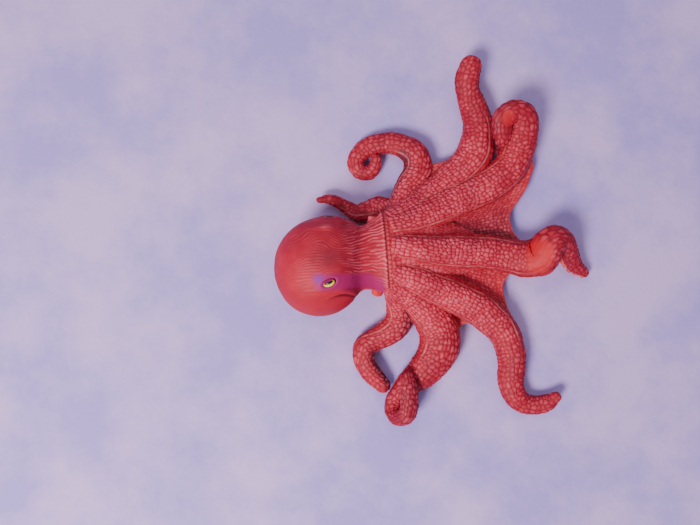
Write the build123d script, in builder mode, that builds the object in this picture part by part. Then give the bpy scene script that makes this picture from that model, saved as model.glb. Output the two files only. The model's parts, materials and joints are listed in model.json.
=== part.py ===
"""Soft moulded octopus figure in a crawling pose, standing on its eight arms.

Millimetres.  +Z is up and the table is Z = 0.  The origin is on the table, under the middle of
the outline.  The mantle lies towards -X and the front pair of arms reaches towards +X, so the
animal's left side is +Y.

A hollow head moulding is plugged and glued to a cored arm crown.  The crown carries the root of
each arm and the web between the roots.  The free length of each arm is a node of its own that
turns on a ball in the crown, which stands in for the bending of the soft plastic.
"""

import os
from math import ceil, cos, radians, sin, sqrt

from build123d import *

# ---------------------------------------------------------------------------
# Driving dimensions
# ---------------------------------------------------------------------------
ARM_FLATNESS = 0.8  # height of an arm's section over its width
SECTION_SPACING = 3.0
TIP_DOME = (0.45, 0.8, 0.97)  # where the rounding of an arm's tip has its sections, over the tip's radius
BALL_RATIO = 0.6  # ball radius over the arm's half width at the joint
ROOT_SETBACK = 0.36  # the crown's root ends this far before the ball's centre, over the half width
FREE_START = 0.1  # the free arm's body starts this far past the ball's centre, over the half width
SOCKET_GAP = 0.3  # clearance between a ball and its socket
FIT_GAP = 0.1  # glue gap between pieces of the head and crown

SEAM_ORIGIN = (-24.5, -5.5, 20.0)  # middle of the glued seam between head and crown
SEAM_TURN = 4.7  # the seam's face is turned this many degrees about Z
SEAM_HALF_WIDTH = 20.0
SEAM_HALF_HEIGHT = 14.0
SEAM_ROW = (*SEAM_ORIGIN, SEAM_HALF_WIDTH, SEAM_HALF_HEIGHT)
ROWS_PER_GAP = 4  # sections made for each gap between the rows given for hub and head
HOLLOW_START = 9  # the head's section, counted from the back, where its inside starts

WALL = 2.2  # wall of the hollow head
OPEN_PAST = 1.0  # the hollow runs this far past the seam, so that the head is open at the neck
PLUG_DEPTH = 5.0  # the plug's length inside the head
PLUG_STEM = 7.0  # the plug's length inside the crown
STEM_HALF_WIDTH = 11.0
STEM_HALF_HEIGHT = 7.0

WEB_BOTTOM = 4.0
WEB_THICKNESS = 4.5
WEB_SETBACK = 5.0  # the web ends this far before each joint

MOUTH_CENTRE = (-3.0, -5.0)
BOSS_RADIUS = 15.0
BOSS_BOTTOM = 2.4
BOSS_TOP = 9.0
CORE_RADIUS = 10.0
CORE_TOP = 14.0
PLATE_RADIUS = 14.5
PLATE_SPIGOT = 2.6  # height of the mouth plate's spigot inside the crown
BEAK_RADIUS = 3.2
BEAK_DEPTH = 1.6

EYE_RADIUS = 3.0
EYE_PROUD = 1.1  # height of the eye bead above the skin

SIPHON_SINK = 0.8  # depth of the siphon's root in the head's wall
SIPHON_REACH = 4.6  # length of the siphon outside the wall
SIPHON_RADII = (3.0, 2.4)  # at the root and at the mouth
SIPHON_BORE = 1.3
SIPHON_BORE_DEPTH = 2.6

# ---------------------------------------------------------------------------
# Arms.  Each is the line down its middle: x, y, z and half width, from the neck to the tip.
# The number after the list is the row where the free arm joins the crown.
# ---------------------------------------------------------------------------
ARMS = {
    "left_arm_1": (
        [
            (-19.5, 4.5, 19.0, 6.6), (-12.0, 8.5, 17.5, 7.0), (-2.0, 14.0, 15.0, 7.4),
            (10.0, 20.0, 12.0, 8.0), (21.0, 25.0, 9.5, 8.4), (30.5, 30.5, 8.0, 8.4),
            (37.5, 37.0, 7.4, 8.0), (41.0, 44.5, 8.4, 7.2), (42.3, 51.0, 11.4, 6.4),
            (42.2, 57.0, 15.4, 5.9), (38.5, 61.5, 18.0, 5.5), (33.0, 61.8, 18.5, 4.9),
            (29.3, 58.0, 17.0, 4.3), (29.5, 53.0, 13.8, 3.5),
        ],
        5,
    ),
    "left_arm_2": (
        [
            (-20.5, 7.5, 16.0, 5.7), (-12.5, 15.0, 14.0, 6.0), (-3.5, 23.0, 11.5, 6.3),
            (5.5, 29.5, 9.0, 7.3), (13.0, 35.5, 7.8, 8.2), (18.5, 41.5, 7.4, 8.6),
            (20.8, 48.0, 7.2, 8.3), (21.5, 54.5, 7.0, 7.7), (20.8, 61.0, 7.0, 7.2),
            (18.5, 67.5, 7.4, 6.3), (16.3, 73.5, 8.2, 5.5), (15.7, 79.5, 9.4, 5.8),
            (17.0, 85.0, 10.4, 5.2),
        ],
        5,
    ),
    "left_arm_3": (
        [
            (-18.0, 9.0, 13.0, 4.8), (-15.0, 19.0, 10.5, 5.8), (-11.0, 27.5, 8.0, 6.8),
            (-8.0, 35.0, 6.6, 7.2), (-9.0, 42.0, 6.0, 6.8), (-14.5, 47.0, 5.5, 6.0),
            (-22.0, 49.0, 5.0, 5.3), (-29.5, 48.0, 4.7, 4.8), (-35.5, 45.0, 4.5, 4.3),
            (-38.5, 40.0, 4.3, 4.0), (-36.5, 35.5, 4.2, 3.7), (-32.0, 34.5, 4.2, 3.6),
            (-29.0, 37.0, 4.6, 3.2), (-28.5, 41.0, 5.2, 2.5),
        ],
        3,
    ),
    "left_arm_4": (
        [
            (-17.0, 7.0, 12.0, 4.8), (-20.5, 15.0, 8.5, 4.5), (-26.5, 19.0, 6.0, 4.2),
            (-32.5, 17.8, 5.5, 4.5), (-38.0, 15.8, 5.0, 4.2), (-43.0, 17.4, 5.4, 3.5),
            (-48.0, 20.1, 6.2, 2.9), (-52.5, 21.2, 6.9, 2.3), (-56.3, 20.7, 7.5, 1.6),
        ],
        2,
    ),
    "right_arm_1": (
        [
            (-20.0, -3.5, 23.0, 7.0), (-11.0, -4.0, 20.0, 7.5), (-0.5, -4.0, 16.5, 8.0),
            (10.5, -4.0, 13.0, 8.4), (21.5, -4.5, 10.2, 8.6), (30.5, -5.5, 8.8, 8.4),
            (38.0, -6.9, 9.2, 8.3), (44.5, -7.6, 11.6, 8.7), (49.3, -5.6, 15.4, 8.3),
            (53.0, -0.5, 18.0, 7.0), (57.5, 2.4, 17.0, 6.0), (62.2, 0.4, 13.3, 5.8),
            (65.7, -4.8, 9.0, 5.3), (69.4, -10.0, 5.4, 4.4), (73.9, -13.8, 3.3, 3.0),
        ],
        5,
    ),
    "right_arm_2": (
        [
            (-19.5, -12.5, 21.0, 6.6), (-11.0, -16.0, 18.0, 7.1), (-1.0, -20.5, 15.0, 7.6),
            (10.0, -26.0, 12.0, 8.2), (20.0, -31.0, 9.6, 8.4), (27.5, -37.0, 8.0, 8.2),
            (33.5, -43.5, 7.0, 7.7), (37.0, -51.5, 6.4, 7.1), (38.0, -59.5, 5.8, 6.4),
            (37.5, -67.5, 5.3, 5.9), (39.5, -74.5, 4.7, 5.2), (44.5, -79.0, 4.3, 4.7),
            (51.0, -80.0, 4.4, 4.4), (56.5, -78.0, 5.5, 3.6), (59.5, -75.5, 7.0, 2.4),
        ],
        5,
    ),
    "right_arm_3": (
        [
            (-18.0, -17.0, 15.0, 4.6), (-13.5, -23.0, 13.0, 6.2), (-7.5, -29.0, 11.0, 7.7),
            (-2.0, -35.5, 9.0, 9.0), (1.5, -42.0, 8.2, 9.5), (1.5, -49.0, 7.8, 9.2),
            (-1.5, -56.0, 7.2, 8.4), (-6.5, -62.5, 6.4, 7.3), (-11.5, -68.5, 5.7, 6.4),
            (-15.0, -74.0, 5.2, 5.8), (-17.0, -79.5, 5.2, 5.5), (-17.2, -83.3, 7.0, 5.4),
            (-16.8, -85.0, 11.0, 5.3), (-16.0, -83.3, 15.2, 5.1), (-15.0, -79.5, 17.0, 4.9),
            (-14.0, -74.5, 17.2, 4.6), (-13.5, -69.5, 17.0, 4.0), (-13.5, -64.5, 16.4, 3.2),
        ],
        4,
    ),
    "right_arm_4": (
        [
            (-17.0, -14.0, 13.0, 4.5), (-18.5, -21.5, 11.0, 4.8), (-18.0, -28.0, 9.0, 5.2),
            (-17.0, -34.0, 7.6, 6.0), (-18.5, -39.5, 6.6, 6.3), (-23.0, -44.0, 6.0, 6.1),
            (-29.0, -47.5, 5.6, 5.9), (-33.8, -51.5, 5.2, 5.7), (-34.2, -57.5, 4.9, 5.3),
            (-31.4, -63.0, 4.7, 5.0), (-27.9, -67.2, 4.5, 4.5), (-25.4, -70.0, 4.2, 3.6),
        ],
        4,
    ),
}

# Where the edge of the web runs deepest between one arm and the next, round the crown.
WEB_VALLEYS = {
    ("left_arm_4", "left_arm_3"): (-18.0, 21.0),
    ("left_arm_3", "left_arm_2"): (0.0, 32.0),
    ("left_arm_2", "left_arm_1"): (18.0, 30.5),
    ("left_arm_1", "right_arm_1"): (29.0, 13.0),
    ("right_arm_1", "right_arm_2"): (27.0, -20.0),
    ("right_arm_2", "right_arm_3"): (11.0, -35.0),
    ("right_arm_3", "right_arm_4"): (-8.0, -34.0),
    ("right_arm_4", "left_arm_4"): (-17.0, -3.0),
}

# Crown hub: x, y, z of a section's middle, its half width along Y and its half height along Z.
HUB_SECTIONS = [
    (-14.0, -5.0, 18.5, 20.5, 14.3),
    (-2.0, -5.0, 15.5, 19.0, 12.0),
    (10.0, -4.0, 12.0, 15.0, 8.0),
    (21.0, -4.0, 9.5, 8.0, 4.0),
]

# Head, from the back of the mantle to the neck, as for the hub.
HEAD_SECTIONS = [
    (-76.3, -12.0, 25.0, 3.0, 2.8),
    (-75.0, -12.0, 25.0, 8.0, 7.6),
    (-71.0, -12.3, 25.0, 15.0, 14.2),
    (-64.5, -12.2, 25.0, 20.4, 19.2),
    (-55.0, -11.8, 25.0, 23.0, 21.4),
    (-46.0, -10.8, 25.0, 21.8, 19.6),
    (-40.5, -9.8, 24.5, 18.6, 16.4),
    (-35.5, -7.8, 23.0, 15.4, 13.2),
    (-30.5, -6.4, 21.3, 16.4, 12.8),
]

RIGHT_EYE = (-50.5, -18.8, 44.8)
LEFT_EYE = (-50.5, 10.8, 30.1)
MANTLE_CENTRE = (-55.0, -11.8, 25.0)

SIPHON_ROOT = (-29.4, -20.9, 14.1)
SIPHON_DIRECTION = (-0.5, -0.65, -0.52)


# ---------------------------------------------------------------------------
# Helpers
# ---------------------------------------------------------------------------
def middle_line(rows):
    """The smooth line down the middle of an arm."""
    return Spline([Vector(*row[:3]) for row in rows], mode=Mode.PRIVATE)


def row_shares(rows):
    """How far along an arm each of its rows lies, from 0 to 1, and the arm's length."""
    reach = [0.0]
    for here, after in zip(rows, rows[1:]):
        reach.append(reach[-1] + (Vector(*after[:3]) - Vector(*here[:3])).length)
    return [distance / reach[-1] for distance in reach], reach[-1]


def half_width(rows, share):
    """An arm's half width at a share of its length, between those of its rows."""
    shares, _ = row_shares(rows)
    for index in range(1, len(rows)):
        if share <= shares[index] or index == len(rows) - 1:
            blend = (share - shares[index - 1]) / (shares[index] - shares[index - 1])
            return rows[index - 1][3] * (1 - blend) + rows[index][3] * blend


def arm_planes(rows, first, last):
    """Section planes and half widths, evenly spaced between two shares of an arm's length.  Each
    plane's X runs across the arm, carried from one plane to the next so that nothing twists."""
    line = middle_line(rows)
    count = ceil((last - first) * row_shares(rows)[1] / SECTION_SPACING)
    side = (line % first).cross(Vector(0, 0, 1))
    found = []
    for index in range(count + 1):
        share = first + (last - first) * index / count
        direction = line % share
        side = (side - direction * side.dot(direction)).normalized()
        plane = Plane(origin=line @ share, x_dir=side, z_dir=direction)
        found.append((plane, half_width(rows, share)))
    return found


def shifted(plane, distance):
    """The plane moved along its own normal."""
    return Plane(origin=plane.origin + plane.z_dir * distance, x_dir=plane.x_dir, z_dir=plane.z_dir)


def tip_planes(plane, radius):
    """The sections that round off an arm's tip."""
    return [(shifted(plane, radius * share), radius * sqrt(1 - share**2)) for share in TIP_DOME]


def arm_loft(sections):
    """Solid through arm sections, each a plane and a half width."""
    with BuildPart(mode=Mode.PRIVATE) as tube:
        for plane, half in sections:
            with BuildSketch(plane):
                Ellipse(half, ARM_FLATNESS * half)
        loft(ruled=True)
    return tube.part


def curved(before, start, end, after, blend):
    """A number part of the way from start to end, on a smooth curve through all four."""
    slope = (end - before) / 2
    next_slope = (after - start) / 2
    bend = 3 * (end - start) - 2 * slope - next_slope
    twist = slope + next_slope - 2 * (end - start)
    return start + blend * (slope + blend * (bend + blend * twist))


def smooth_rows(rows):
    """Hub or head rows with more put between them on smooth curves."""
    found = []
    for index in range(len(rows) - 1):
        four = [rows[min(max(index + step, 0), len(rows) - 1)] for step in (-1, 0, 1, 2)]
        for step in range(ROWS_PER_GAP):
            found.append(tuple(curved(*values, step / ROWS_PER_GAP) for values in zip(*four)))
    return found + [rows[-1]]


def x_section(row, inset=0.0):
    """The section plane of a hub or head row, which faces +X, with its two half sizes."""
    x, y, z, half_width, half_height = row
    plane = Plane(origin=(x, y, z), x_dir=(0, 1, 0), z_dir=(1, 0, 0))
    return plane, half_width - inset, half_height - inset


def seam_plane(distance=0.0):
    """The face where head meets crown, or a plane that far along its normal."""
    turn = radians(SEAM_TURN)
    flat = Plane(origin=SEAM_ORIGIN, x_dir=(-sin(turn), cos(turn), 0), z_dir=(cos(turn), sin(turn), 0))
    return shifted(flat, distance)


def body_loft(sections):
    """Solid through hub or head sections, each a plane and two half sizes."""
    with BuildPart(mode=Mode.PRIVATE) as body:
        for plane, half_width, half_height in sections:
            with BuildSketch(plane):
                Ellipse(half_width, half_height)
        loft(ruled=True)
    return body.part


def joint_of(name):
    """An arm's joint: its share of the arm's length, its plane and the half width there."""
    rows, joint = ARMS[name]
    share = row_shares(rows)[0][joint]
    line = middle_line(rows)
    return share, Plane(origin=line @ share, z_dir=line % share), rows[joint][3]


def free_arm_sections(name):
    """Sections of the part of an arm that bends."""
    rows, _ = ARMS[name]
    share, _, half = joint_of(name)
    sections = arm_planes(rows, share + FREE_START * half / row_shares(rows)[1], 1.0)
    return sections + tip_planes(*sections[-1])


def root_sections(name):
    """Sections of the part of an arm that belongs to the crown."""
    rows, _ = ARMS[name]
    share, _, half = joint_of(name)
    return arm_planes(rows, 0.0, share - ROOT_SETBACK * half / row_shares(rows)[1])


def web_corner(name):
    """Where the web's edge meets an arm, seen from above."""
    _, plane, _ = joint_of(name)
    point = plane.origin - plane.z_dir * WEB_SETBACK
    return (point.X, point.Y)


def hollow(inset):
    """The inside of the head, this far in from its skin."""
    neck = (seam_plane(OPEN_PAST), SEAM_HALF_WIDTH - inset, SEAM_HALF_HEIGHT - inset)
    rows = smooth_rows(HEAD_SECTIONS + [SEAM_ROW])[HOLLOW_START:-1]
    return body_loft([x_section(row, inset) for row in rows] + [neck])


def eye_centre(surface_point):
    """Middle of an eye bead that stands proud of the skin at that point."""
    outward = (Vector(*surface_point) - Vector(*MANTLE_CENTRE)).normalized()
    return Vector(*surface_point) + outward * (EYE_PROUD - EYE_RADIUS)


# ---------------------------------------------------------------------------
# Arms: the free length of each, with its ball
# ---------------------------------------------------------------------------
parts = []
for arm_name in ARMS:
    _, ball_plane, joint_half = joint_of(arm_name)
    with BuildPart() as arm:
        add(arm_loft(free_arm_sections(arm_name)))
        with Locations(ball_plane):
            Sphere(BALL_RATIO * joint_half)
    arm.part.label = arm_name
    parts.append(arm.part)

# ---------------------------------------------------------------------------
# Arm crown: hub, web and arm roots, cored from below and socketed for the plug and balls
# ---------------------------------------------------------------------------
with BuildPart() as arm_crown:
    neck_face = (seam_plane(), SEAM_HALF_WIDTH, SEAM_HALF_HEIGHT)
    hub_rows = smooth_rows([SEAM_ROW] + HUB_SECTIONS)[1:]
    add(body_loft([neck_face] + [x_section(row) for row in hub_rows]))
    with BuildSketch(Plane.XY.offset(WEB_BOTTOM)):
        with BuildLine():
            for (first, second), valley in WEB_VALLEYS.items():
                ThreePointArc(web_corner(first), valley, web_corner(second))
        make_face()
    extrude(amount=WEB_THICKNESS)
    for arm_name in ARMS:
        add(arm_loft(root_sections(arm_name)))
    with BuildSketch(Plane.XY.offset(BOSS_BOTTOM)):
        with Locations(MOUTH_CENTRE):
            Circle(BOSS_RADIUS)
    extrude(amount=BOSS_TOP - BOSS_BOTTOM)
    with BuildSketch(Plane.XY.offset(BOSS_BOTTOM)):
        with Locations(MOUTH_CENTRE):
            Circle(CORE_RADIUS)
    extrude(amount=CORE_TOP - BOSS_BOTTOM, mode=Mode.SUBTRACT)
    with BuildSketch(seam_plane()):
        Ellipse(STEM_HALF_WIDTH + FIT_GAP, STEM_HALF_HEIGHT + FIT_GAP)
    extrude(amount=PLUG_STEM + FIT_GAP, mode=Mode.SUBTRACT)
    for arm_name in ARMS:
        _, ball_plane, joint_half = joint_of(arm_name)
        with Locations(ball_plane):
            Sphere(BALL_RATIO * joint_half + SOCKET_GAP, mode=Mode.SUBTRACT)
arm_crown.part.label = "arm_crown"
parts.append(arm_crown.part)

# ---------------------------------------------------------------------------
# Mouth plate: closes the crown's core and is the flat face that the figure stands on
# ---------------------------------------------------------------------------
with BuildPart() as mouth_plate:
    with BuildSketch(Plane.XY):
        with Locations(MOUTH_CENTRE):
            Circle(PLATE_RADIUS)
    extrude(amount=BOSS_BOTTOM)
    with BuildSketch(Plane.XY.offset(BOSS_BOTTOM)):
        with Locations(MOUTH_CENTRE):
            Circle(CORE_RADIUS - FIT_GAP)
    extrude(amount=PLATE_SPIGOT)
    with BuildSketch(Plane.XY):
        with Locations(MOUTH_CENTRE):
            Circle(BEAK_RADIUS)
    extrude(amount=BEAK_DEPTH, mode=Mode.SUBTRACT)
mouth_plate.part.label = "mouth_plate"
parts.append(mouth_plate.part)

# ---------------------------------------------------------------------------
# Head: hollow mantle shell, open at the neck, with seats for the eye beads
# ---------------------------------------------------------------------------
siphon_root = Plane(origin=SIPHON_ROOT, z_dir=SIPHON_DIRECTION)
outer_rows = smooth_rows(HEAD_SECTIONS + [SEAM_ROW])[:-1]
outer_sections = [x_section(row) for row in outer_rows] + [neck_face]
with BuildPart() as mantle_shell:
    add(body_loft(outer_sections))
    add(hollow(WALL), mode=Mode.SUBTRACT)
    for eye in (RIGHT_EYE, LEFT_EYE):
        with Locations(eye_centre(eye)):
            Sphere(EYE_RADIUS + FIT_GAP, mode=Mode.SUBTRACT)
    with BuildSketch(shifted(siphon_root, -SIPHON_SINK)):
        Circle(SIPHON_RADII[0] + FIT_GAP)
    extrude(amount=SIPHON_SINK + SIPHON_REACH, mode=Mode.SUBTRACT)
mantle_shell.part.label = "mantle_shell"
parts.append(mantle_shell.part)

# ---------------------------------------------------------------------------
# Neck plug: fills the head's opening and runs into the crown
# ---------------------------------------------------------------------------
with BuildPart() as neck_plug:
    add(hollow(WALL + FIT_GAP))
    split(bisect_by=seam_plane(-PLUG_DEPTH), keep=Keep.TOP)
    split(bisect_by=seam_plane(), keep=Keep.BOTTOM)
    with BuildSketch(seam_plane()):
        Ellipse(STEM_HALF_WIDTH, STEM_HALF_HEIGHT)
    extrude(amount=PLUG_STEM)
neck_plug.part.label = "neck_plug"
parts.append(neck_plug.part)

# ---------------------------------------------------------------------------
# Siphon: a short tapered funnel low on the right of the neck
# ---------------------------------------------------------------------------
with BuildPart() as siphon:
    with BuildSketch(shifted(siphon_root, -SIPHON_SINK)):
        Circle(SIPHON_RADII[0])
    with BuildSketch(siphon_root):
        Circle(SIPHON_RADII[0])
    with BuildSketch(shifted(siphon_root, SIPHON_REACH)):
        Circle(SIPHON_RADII[1])
    loft(ruled=True)
    with BuildSketch(shifted(siphon_root, SIPHON_REACH)):
        Circle(SIPHON_BORE)
    extrude(amount=-SIPHON_BORE_DEPTH, mode=Mode.SUBTRACT)
siphon.part.label = "siphon"
parts.append(siphon.part)

for eye_name, eye in (("right_eye", RIGHT_EYE), ("left_eye", LEFT_EYE)):
    with BuildPart() as eye_bead:
        with Locations(eye_centre(eye)):
            Sphere(EYE_RADIUS)
    eye_bead.part.label = eye_name
    parts.append(eye_bead.part)

os.makedirs("parts", exist_ok=True)
for piece in parts:
    export_step(piece, f"parts/{piece.label}.step")
    print(piece.label, round(piece.volume), piece.bounding_box().size)
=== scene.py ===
"""The look of a soft moulded octopus figure: knobbly painted arms, web, wrinkled head and eyes.

Shapes are worked out in millimetres in the frame's axes and turned to metres when a mesh is made.
+X points to the front arms, +Y to the animal's left and +Z up.
"""

import json
import math

import bpy
import numpy as np
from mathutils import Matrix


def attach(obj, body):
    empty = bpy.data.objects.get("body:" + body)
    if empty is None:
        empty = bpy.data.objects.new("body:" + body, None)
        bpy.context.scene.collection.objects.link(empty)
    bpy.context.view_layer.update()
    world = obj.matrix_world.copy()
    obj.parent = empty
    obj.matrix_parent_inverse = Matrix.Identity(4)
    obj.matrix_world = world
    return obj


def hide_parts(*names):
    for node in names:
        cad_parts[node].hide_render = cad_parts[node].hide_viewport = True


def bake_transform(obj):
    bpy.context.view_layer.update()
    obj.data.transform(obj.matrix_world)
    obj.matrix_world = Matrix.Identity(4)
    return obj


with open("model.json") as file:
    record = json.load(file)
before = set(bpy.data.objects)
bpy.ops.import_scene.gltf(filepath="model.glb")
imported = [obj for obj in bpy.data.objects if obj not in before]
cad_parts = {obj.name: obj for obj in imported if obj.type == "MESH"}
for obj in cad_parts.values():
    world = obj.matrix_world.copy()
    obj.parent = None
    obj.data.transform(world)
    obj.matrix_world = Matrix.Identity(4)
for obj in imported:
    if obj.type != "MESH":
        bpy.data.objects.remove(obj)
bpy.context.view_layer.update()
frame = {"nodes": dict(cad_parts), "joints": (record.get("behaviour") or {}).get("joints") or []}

# ---------------------------------------------------------------------------
# Sizes, in millimetres unless they say otherwise
# ---------------------------------------------------------------------------
MM = 0.001
FINE = 0.38  # distance between a mesh's rings
ARM_AROUND = 136
ARM_FLATNESS = 0.8  # height of an arm's section over its width
SOLE_FLATNESS = 0.86  # the underside's height over the back's
FLOOR_GAP = 0.12  # nothing but the mouth's flat face reaches lower than this

PEBBLE_AT_ROOT = 1.5  # width of the knobs on the crown
PEBBLE_AT_TIP = 2.2
PEBBLE_HEIGHT = 0.9
BACK_EDGE = (98, 125)  # the knobs fade out between these turns from the back, in degrees
RIDGE_TURN = 56  # where the pale ridges run, in degrees from the back
RIDGE_HEIGHT = 0.5
RIDGE_HALF_WIDTH = 0.48
RIDGE_REACH = 26.0  # the pale ridges die out this far past an arm's joint
SUCKER_RATIO = 0.27  # radius of a sucker over the arm's half width
SMALLEST_SUCKER = 0.45
SUCKER_PITCH = 2.15  # from one pair to the next, in radii
FIRST_SUCKER = 13.0  # how far along an arm the first pair lies
SUCKER_PROFILE = [  # radius and height over the sucker's radius, and its shade, from base to cup
    (0.95, -0.5, 0.2), (1.0, 0.0, 0.7), (1.04, 0.2, 0.9), (0.95, 0.4, 1.0),
    (0.78, 0.45, 1.0), (0.6, 0.32, 0.6), (0.42, 0.1, 0.2), (0.1, 0.02, 0.0),
]

SEAM_CENTRE = (-24.5, -5.5, 20.0)
SEAM_TURN = math.radians(4.7)

# ---------------------------------------------------------------------------
# Arms: the line down the middle of each, as x, y, z, half width and roll in degrees.
# A positive roll leans the knobbly back to the left of the way the arm runs.
# ---------------------------------------------------------------------------
ARMS = {
    "left_arm_1": [
        (-23.6, 6.2, 26.5, 5.6, 35), (-13.0, 9.5, 22.8, 6.8, 22), (-3.0, 14.0, 18.0, 7.6, 10),
        (9.0, 19.8, 13.2, 8.3, 4), (20.5, 25.2, 10.0, 8.5, 0), (30.5, 30.8, 8.3, 8.4, 0),
        (37.0, 37.5, 7.9, 8.4, 0), (39.9, 45.0, 8.9, 8.4, 0), (40.9, 51.4, 11.2, 8.1, 0),
        (41.2, 57.2, 15.0, 7.3, 0), (38.8, 60.8, 18.0, 6.4, 0), (34.4, 60.6, 18.9, 6.2, 0),
        (31.0, 57.2, 18.2, 6.0, 0), (31.0, 53.4, 17.0, 5.4, 0), (31.6, 50.2, 15.0, 4.5, 0),
    ],
    "left_arm_2": [
        (-23.6, 9.9, 23.7, 4.8, 50), (-13.0, 15.5, 18.8, 5.8, 38), (-3.5, 22.5, 13.6, 6.5, 30),
        (5.5, 29.2, 10.0, 7.4, 25), (13.0, 35.5, 8.2, 8.2, 25), (18.5, 41.5, 7.6, 8.6, 25),
        (20.8, 48.0, 7.3, 8.3, 30), (21.5, 54.5, 7.1, 7.7, 36), (20.8, 61.0, 7.1, 7.1, 38),
        (18.5, 67.5, 7.5, 6.3, 34), (16.3, 73.5, 8.3, 5.5, 26), (15.7, 79.5, 9.6, 5.8, 16),
        (17.0, 85.0, 10.6, 5.2, 8),
    ],
    "left_arm_3": [
        (-21.5, 11.0, 20.5, 4.6, 40), (-17.5, 18.5, 13.8, 5.4, 25), (-12.5, 27.0, 9.0, 6.6, 5),
        (-8.2, 35.0, 6.9, 7.2, -15), (-9.0, 42.0, 6.2, 6.9, -15), (-14.5, 47.0, 5.6, 6.1, -10),
        (-22.0, 49.0, 5.1, 5.4, 0), (-29.5, 48.0, 4.8, 4.9, 0), (-35.5, 45.0, 4.6, 4.4, 0),
        (-38.5, 40.0, 4.5, 4.1, 0), (-36.5, 35.5, 4.5, 3.8, 0), (-32.0, 34.5, 4.6, 3.5, 0),
        (-29.2, 37.0, 5.4, 3.1, 0), (-28.4, 41.0, 6.4, 2.5, 0),
    ],
    "left_arm_4": [
        (-20.5, 9.0, 17.0, 5.6, 40), (-22.0, 14.5, 11.4, 6.3, 20), (-27.3, 15.4, 8.8, 7.4, 0),
        (-33.6, 14.4, 7.6, 6.4, 0), (-38.6, 14.6, 5.9, 4.9, 0), (-43.0, 17.3, 5.5, 3.7, 0),
        (-48.0, 20.1, 6.3, 3.0, 0), (-52.5, 21.2, 7.0, 2.4, 0), (-56.3, 20.7, 7.6, 1.6, 0),
    ],
    "right_arm_1": [
        (-23.6, -1.8, 29.7, 5.2, 8), (-11.0, -3.2, 25.6, 6.8, 3), (-0.5, -4.0, 20.3, 8.0, 0),
        (10.5, -4.2, 15.2, 8.5, 0), (21.5, -4.6, 11.2, 8.6, 0), (30.8, -5.6, 9.2, 8.4, 0),
        (38.0, -6.9, 9.5, 8.4, 0), (44.5, -7.8, 11.8, 9.0, 0), (49.5, -6.6, 15.4, 9.2, 0),
        (52.3, -1.4, 18.2, 7.8, 0), (56.6, 1.9, 17.4, 6.8, -8), (61.2, -0.2, 13.7, 6.6, -22),
        (64.6, -5.4, 9.5, 6.0, -34), (68.7, -10.9, 6.1, 4.9, -34), (73.7, -14.2, 4.0, 3.2, -25),
    ],
    "right_arm_2": [
        (-23.6, -13.4, 28.4, 5.4, -20), (-12.0, -16.5, 23.2, 6.8, -14), (-1.5, -21.3, 17.8, 7.8, -10),
        (10.0, -26.5, 13.2, 8.3, -10), (20.0, -31.2, 10.1, 8.4, -14), (27.6, -37.1, 8.4, 8.2, -20),
        (33.5, -43.5, 7.3, 7.7, -26), (37.0, -51.5, 6.7, 7.1, -30), (38.0, -59.5, 6.3, 6.4, -32),
        (37.5, -67.5, 5.8, 5.9, -30), (39.5, -74.5, 5.2, 5.3, -15), (44.5, -79.0, 4.6, 4.8, 0),
        (51.0, -80.0, 4.8, 4.4, 0), (56.5, -78.0, 5.9, 3.7, 0), (59.5, -75.5, 7.3, 2.6, 0),
    ],
    "right_arm_3": [
        (-23.2, -18.8, 25.7, 4.8, -40), (-14.5, -24.2, 19.0, 6.0, -25), (-7.5, -30.0, 13.6, 7.6, -12),
        (-2.0, -36.0, 10.1, 9.0, -5), (1.9, -42.2, 8.6, 9.9, 0), (2.4, -49.4, 8.0, 10.1, 0),
        (-0.3, -56.8, 7.5, 9.4, 0), (-5.6, -63.2, 6.7, 8.1, 0), (-11.5, -68.5, 5.8, 6.4, 0),
        (-15.9, -74.0, 5.3, 5.9, 0), (-18.8, -79.3, 5.4, 5.5, 0), (-19.0, -83.0, 7.2, 5.3, 0),
        (-17.3, -84.9, 10.6, 5.2, 0), (-14.6, -83.3, 14.4, 5.0, 0), (-13.2, -79.5, 16.2, 4.7, 0),
        (-12.9, -74.5, 16.4, 4.4, 0), (-13.0, -69.5, 16.0, 4.2, 0), (-13.4, -65.5, 15.0, 3.7, 0),
    ],
    "right_arm_4": [
        (-22.6, -21.2, 23.1, 4.4, -60), (-19.8, -25.8, 15.5, 4.9, -30), (-17.6, -30.5, 10.4, 6.3, -5),
        (-16.8, -35.0, 8.2, 7.0, 0), (-18.2, -40.0, 7.3, 7.2, 0), (-22.8, -44.3, 6.6, 6.8, 0),
        (-29.0, -47.5, 5.9, 5.9, -10), (-33.8, -51.5, 5.8, 5.7, -38), (-34.2, -57.5, 5.6, 5.4, -52),
        (-31.4, -63.0, 5.3, 5.1, -52), (-27.9, -67.2, 5.0, 4.6, -45), (-25.2, -70.3, 4.6, 3.8, -35),
    ],
}

# Where an arm's tip is folded over, knobs run all the way round from this row on.
KNOBBLY_FROM = {"right_arm_3": 11, "left_arm_1": 10}

# Smooth painted patches on two arms: middle and radii in the table's plane, and lowest height.
BARE_PATCHES = {
    "right_arm_1": ((47.5, -7.2), (5.9, 8.9), 13.0),
    "left_arm_1": ((32.0, 57.2), (3.0, 3.8), 18.0),
}

# The side of an arm given painted shade: which way it faces, and how far past the joint it goes.
PAINTED_SHADE_SIDES = {
    "left_arm_4": ((0.3, -0.95, 0.0), 15.0),
    "left_arm_3": ((-0.9, -0.4, 0.0), 12.0),
    "right_arm_4": ((0.95, 0.15, 0.0), 90.0),
}

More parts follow.
